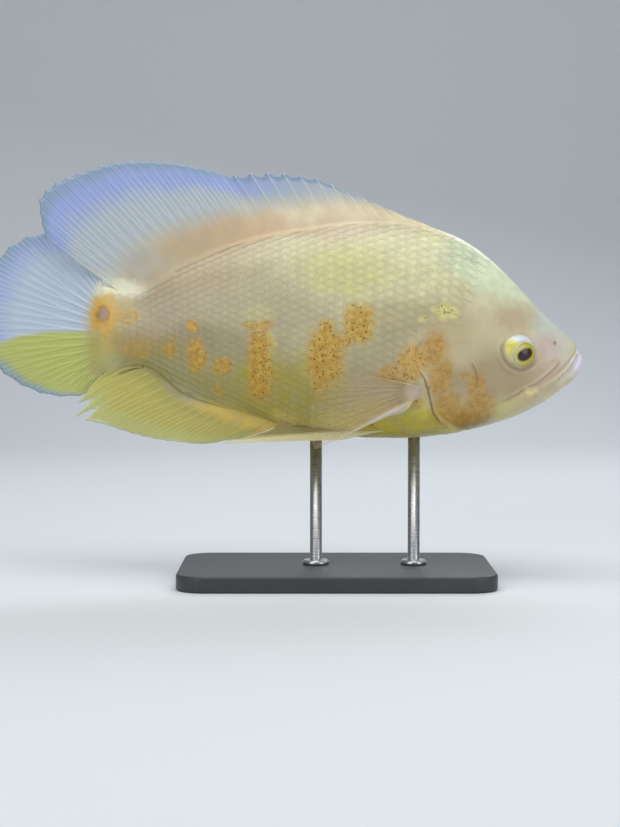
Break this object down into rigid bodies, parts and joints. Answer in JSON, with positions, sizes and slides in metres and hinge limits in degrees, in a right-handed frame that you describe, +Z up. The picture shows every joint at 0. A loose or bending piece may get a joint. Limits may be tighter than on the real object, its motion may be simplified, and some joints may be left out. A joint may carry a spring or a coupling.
{
  "type": "oscar fish",
  "caption": "Life-size oscar fish with a deep pale yellow body, orange blotches and spread fins, held level on a low two-rod display stand.",
  "frame": {"origin": "centre of the stand base's underside, on the surface that it stands on", "axes": "+X towards the fish's snout, +Y towards its left side, +Z up"},
  "size_m": [0.3033, 0.092, 0.2095],
  "materials": {
    "skin": "satin scaled skin, lemon cream with speckled orange blotches",
    "pale_fin": "thin pale blue-white web with fine rays",
    "yellow_fin": "thin lemon web with fine rays",
    "beige_fin": "thin pinkish beige web with fine rays",
    "eye": "wet gloss, yellow iris ring and near-black pupil",
    "base_paint": "satin charcoal",
    "steel": "brushed"
  },
  "bodies": {
    "root": {"head": "skin", "lower_jaw": "skin", "gill_cover_left": "skin", "gill_cover_right": "skin", "eye_left": "eye", "eye_right": "eye", "torso": "skin", "tail_stalk": "skin", "dorsal_fin": "pale_fin", "tail_fin": "pale_fin", "anal_fin": "yellow_fin", "pectoral_fin_left": "beige_fin", "pectoral_fin_right": "beige_fin", "pelvic_fin_left": "yellow_fin", "pelvic_fin_right": "yellow_fin", "stand_base": "base_paint", "stand_rod_front": "steel", "stand_rod_rear": "steel"}
  },
  "joints": []
}
